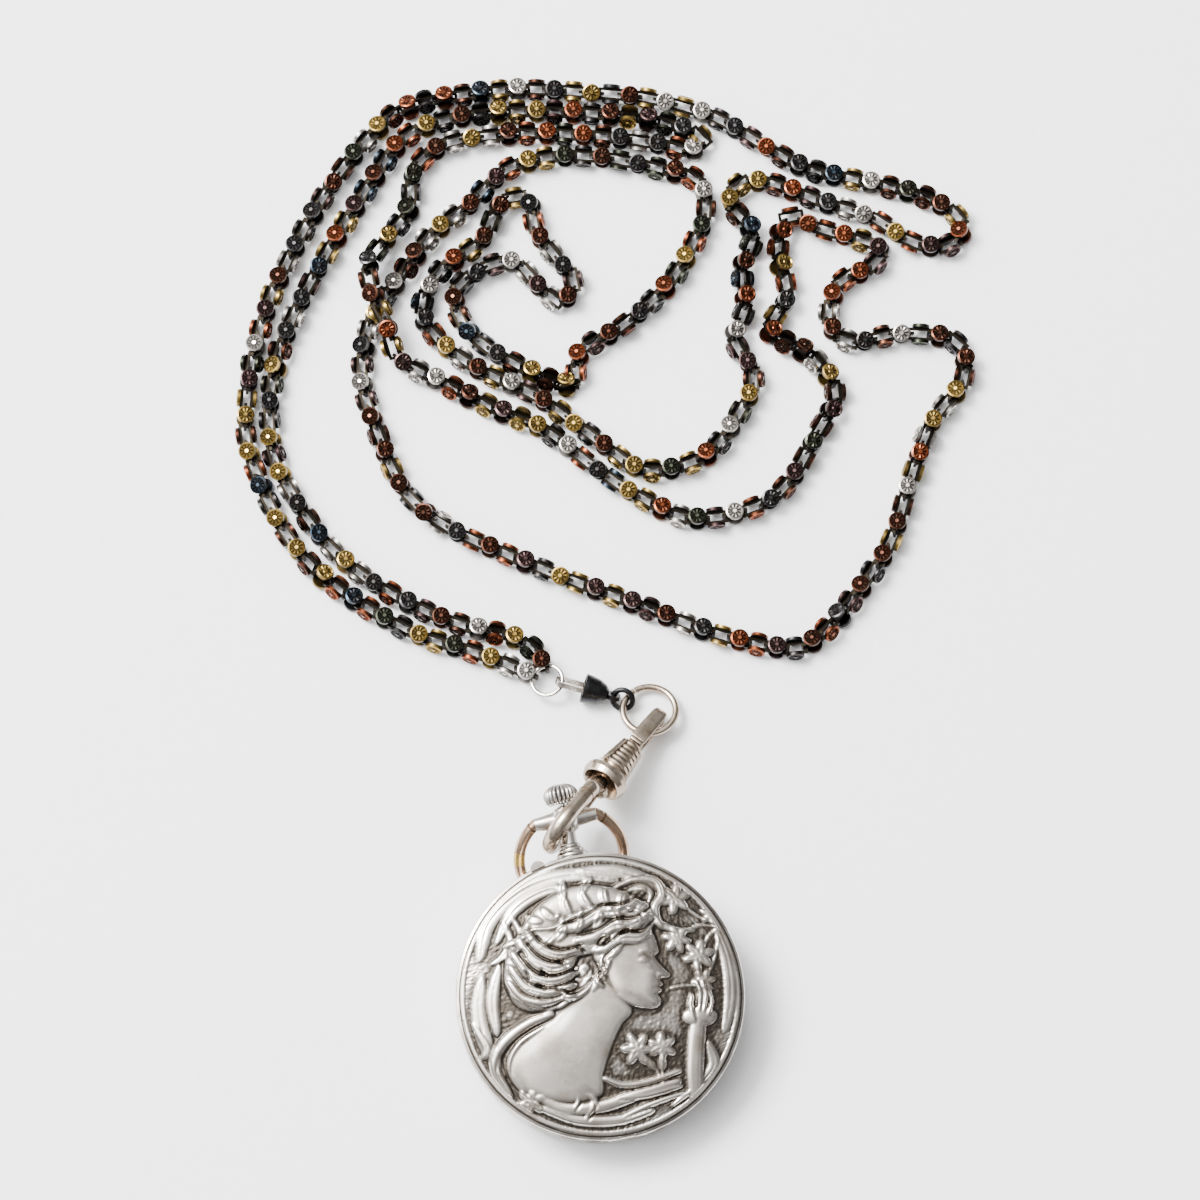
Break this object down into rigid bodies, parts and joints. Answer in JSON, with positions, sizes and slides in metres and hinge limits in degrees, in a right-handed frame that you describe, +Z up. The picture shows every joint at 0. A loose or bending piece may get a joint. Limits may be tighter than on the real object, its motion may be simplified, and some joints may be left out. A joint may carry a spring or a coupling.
{
  "type": "watch chain with pocket watch",
  "caption": "Long gentleman's watch chain of buttoned links lying in loops, with rings, black end cap and swivel clip, and the pocket watch it carries.",
  "frame": {"origin": "on the table, under the middle of the watch and its fittings", "axes": "+Z up from the table, +Y away from the watch towards the chain"},
  "size_m": [0.1312, 0.1966, 0.0177],
  "materials": {
    "chain_metal": "dull patina",
    "silver": "polished with dark recesses",
    "nickel": "worn satin",
    "black": "satin black",
    "gilt": "polished",
    "brass": "gilt",
    "steel": "polished",
    "blued": "blued",
    "enamel": "gloss",
    "glass": "clear",
    "ruby": "polished"
  },
  "bodies": {
    "chain": {"chain_outer_left": "chain_metal", "chain_top_run": "chain_metal", "chain_right_drop": "chain_metal", "chain_inner_left": "chain_metal", "chain_low_bundle": "chain_metal", "chain_great_loop": "chain_metal", "chain_small_loop": "chain_metal", "chain_low_return": "chain_metal", "chain_corner": "chain_metal", "chain_middle_left": "chain_metal", "first_link": "chain_metal", "last_link": "chain_metal"},
    "end_link": {"end_link": "chain_metal"},
    "small_ring": {"small_ring": "silver"},
    "cap": {"connecting_link": "silver", "end_cap": "black", "cap_pin": "black"},
    "black_ring": {"black_ring": "black"},
    "large_ring": {"large_ring": "nickel"},
    "swivel_eye": {"swivel_eye": "nickel"},
    "clip": {"swivel_sleeve": "nickel", "hook": "nickel", "gate_pin": "steel", "gate_spring": "blued"},
    "gate": {"gate": "nickel"},
    "watch": {"case_band": "silver", "dust_cover": "silver", "bezel": "silver", "crystal": "glass", "pendant": "silver", "dial": "enamel", "main_plate": "brass", "train_bridge": "brass", "balance_cock": "brass", "jewels": "ruby", "movement_screws": "blued", "case_screws": "blued", "hairspring": "blued", "cover_hinge_pin": "steel"},
    "bow": {"bow": "gilt"},
    "cover": {"back_cover": "silver"},
    "setting_lever": {"setting_lever": "steel"},
    "crown": {"crown": "silver", "stem": "steel"},
    "barrel": {"barrel": "brass", "mainspring": "blued"},
    "centre_wheel": {"centre_wheel": "brass", "minute_hand": "blued"},
    "third_wheel": {"third_wheel": "brass"},
    "fourth_wheel": {"fourth_wheel": "brass", "second_hand": "blued"},
    "escape_wheel": {"escape_wheel": "steel"},
    "pallet_fork": {"pallet_fork": "steel"},
    "balance": {"balance": "brass"},
    "minute_wheel": {"minute_wheel": "brass"},
    "hour_hand": {"hour_hand": "blued"}
  },
  "joints": [
    {"name": "end_link_swing", "type": "hinge", "parent": "chain", "child": "end_link", "pos_m": [-0.01434, 0.04258, 0.0018], "axis": [0, 0, 1], "range_deg": [-2, 5]},
    {"name": "small_ring_swing", "type": "hinge", "parent": "end_link", "child": "small_ring", "pos_m": [-0.01134, 0.04129, 0.0018], "axis": [0, 0, 1], "range_deg": [-2, 3]},
    {"name": "cap_swing", "type": "hinge", "parent": "small_ring", "child": "cap", "pos_m": [-0.0066, 0.0401, 0.00307], "axis": [0, 0, 1], "range_deg": [-3, 3]},
    {"name": "black_ring_swing", "type": "hinge", "parent": "cap", "child": "black_ring", "pos_m": [0.00234, 0.03769, 0.00194], "axis": [0.9397, -0.342, 0], "range_deg": [-8, 8]},
    {"name": "large_ring_swing", "type": "hinge", "parent": "black_ring", "child": "large_ring", "pos_m": [0.00541, 0.03658, 0.00194], "axis": [0, 0, 1], "range_deg": [-2, 2]},
    {"name": "eye_swing", "type": "hinge", "parent": "large_ring", "child": "swivel_eye", "pos_m": [0.00826, 0.03106, 0.00337], "axis": [0.1951, 0.2627, 0.9449], "range_deg": [-2, 2]},
    {"name": "swivel_turn", "type": "hinge", "parent": "swivel_eye", "child": "clip", "pos_m": [0.0077, 0.0303, 0.0037], "axis": [-0.5634, -0.7586, 0.3272], "range_deg": [-2, 2]},
    {"name": "gate_turn", "type": "hinge", "parent": "clip", "child": "gate", "pos_m": [-0.0004, 0.01939, 0.00724], "axis": [-0.8028, 0.5962, 0], "range_deg": [-30, 0], "stiffness_Nm_per_rad": 0.004, "springref_deg": 17.19},
    {"name": "watch_swing", "type": "hinge", "parent": "clip", "child": "watch", "pos_m": [-0.00538, 0.00949, 0.01133], "axis": [0.0223, -0.1145, 0.9932], "range_deg": [-2, 2]},
    {"name": "bow_turn", "type": "hinge", "parent": "watch", "child": "bow", "pos_m": [-0.00603, 0.0128, 0.01173], "axis": [0.9816, 0.1908, 0], "range_deg": [0, 60]},
    {"name": "cover_turn", "type": "hinge", "parent": "watch", "child": "cover", "pos_m": [0.00465, -0.04211, 0.00793], "axis": [0.9816, 0.1908, 0], "range_deg": [0, 95]},
    {"name": "lever_slide", "type": "slide", "parent": "watch", "child": "setting_lever", "axis": [-0.1895, 0.9749, 0.1167], "range_m": [0, 0.0005]},
    {"name": "crown_turn", "type": "hinge", "parent": "setting_lever", "child": "crown", "pos_m": [-0.00686, 0.01709, 0.01224], "axis": [-0.1895, 0.9749, 0.1167], "continuous": true},
    {"name": "fourth_turn", "type": "hinge", "parent": "watch", "child": "fourth_wheel", "pos_m": [0.00189, -0.02795, 0.00685], "axis": [0.0223, -0.1145, 0.9932], "continuous": true},
    {"name": "third_turn", "type": "hinge", "parent": "watch", "child": "third_wheel", "pos_m": [-0.00092, -0.02394, 0.00738], "axis": [0.0223, -0.1145, 0.9932], "continuous": true},
    {"name": "centre_turn", "type": "hinge", "parent": "watch", "child": "centre_wheel", "pos_m": [0, -0.0182, 0.00802], "axis": [0.0223, -0.1145, 0.9932], "continuous": true},
    {"name": "barrel_turn", "type": "hinge", "parent": "watch", "child": "barrel", "pos_m": [-0.00679, -0.01365, 0.0087], "axis": [0.0223, -0.1145, 0.9932], "continuous": true},
    {"name": "escape_turn", "type": "hinge", "parent": "watch", "child": "escape_wheel", "pos_m": [0.00651, -0.02705, 0.00685], "axis": [0.0223, -0.1145, 0.9932], "continuous": true},
    {"name": "hour_turn", "type": "hinge", "parent": "watch", "child": "hour_hand", "pos_m": [0, -0.0182, 0.00802], "axis": [0.0223, -0.1145, 0.9932], "continuous": true},
    {"name": "minute_wheel_turn", "type": "hinge", "parent": "watch", "child": "minute_wheel", "pos_m": [0.00295, -0.01763, 0.00802], "axis": [0.0223, -0.1145, 0.9932], "continuous": true},
    {"name": "pallet_rock", "type": "hinge", "parent": "watch", "child": "pallet_fork", "pos_m": [0.00901, -0.02474, 0.00706], "axis": [0.0223, -0.1145, 0.9932], "range_deg": [-5, 5]},
    {"name": "balance_swing", "type": "hinge", "parent": "watch", "child": "balance", "pos_m": [0.0109, -0.0177, 0.00783], "axis": [0.0223, -0.1145, 0.9932], "range_deg": [-135, 135]}
  ],
  "couplings": [
    {"joint": "fourth_turn", "follows": "third_turn", "ratio": -7.5},
    {"joint": "centre_turn", "follows": "third_turn", "ratio": -0.125},
    {"joint": "barrel_turn", "follows": "third_turn", "ratio": 0.015625},
    {"joint": "escape_turn", "follows": "third_turn", "ratio": 75},
    {"joint": "hour_turn", "follows": "third_turn", "ratio": -0.010417},
    {"joint": "minute_wheel_turn", "follows": "third_turn", "ratio": 0.041667}
  ]
}
